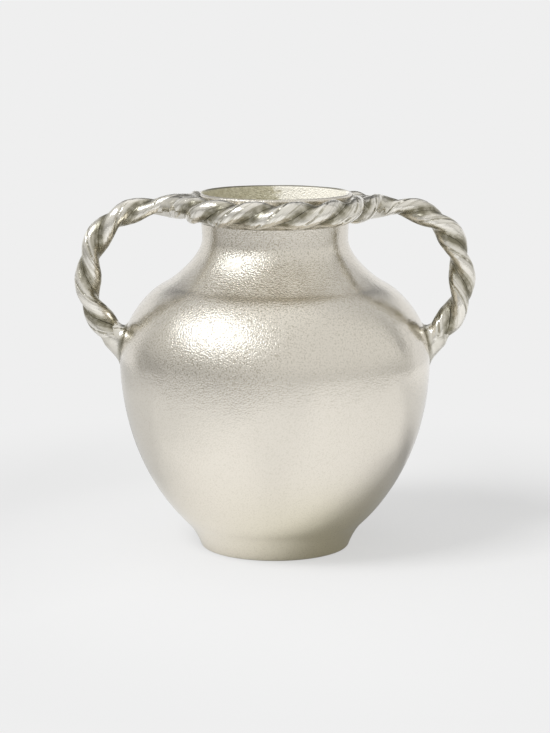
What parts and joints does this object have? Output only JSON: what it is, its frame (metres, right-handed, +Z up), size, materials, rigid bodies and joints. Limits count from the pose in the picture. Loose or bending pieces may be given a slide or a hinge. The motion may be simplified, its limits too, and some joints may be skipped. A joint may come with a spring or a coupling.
{
  "type": "handled vase",
  "caption": "Round-bellied cast metal vase with a twisted rope collar round its mouth and twisted rope handles down to the shoulder.",
  "frame": {"origin": "on the vase's axis, in the plane that its foot stands on", "axes": "+Z up along the vase's axis; the handles lie to -X and +X; the pictured front faces -Y"},
  "size_m": [0.2404, 0.1868, 0.215],
  "materials": {
    "cast_body": "satin sand-cast grain, warm nickel tone",
    "polished_rope": "hand-polished, warm nickel tone"
  },
  "bodies": {
    "root": {"vase_body": "cast_body", "front_rim_strand_a": "polished_rope", "front_rim_strand_b": "polished_rope", "back_rim_strand_a": "polished_rope", "back_rim_strand_b": "polished_rope", "left_handle_strand_a": "polished_rope", "left_handle_strand_b": "polished_rope", "right_handle_strand_a": "polished_rope", "right_handle_strand_b": "polished_rope", "left_handle_foot": "polished_rope", "right_handle_foot": "polished_rope"}
  },
  "joints": []
}
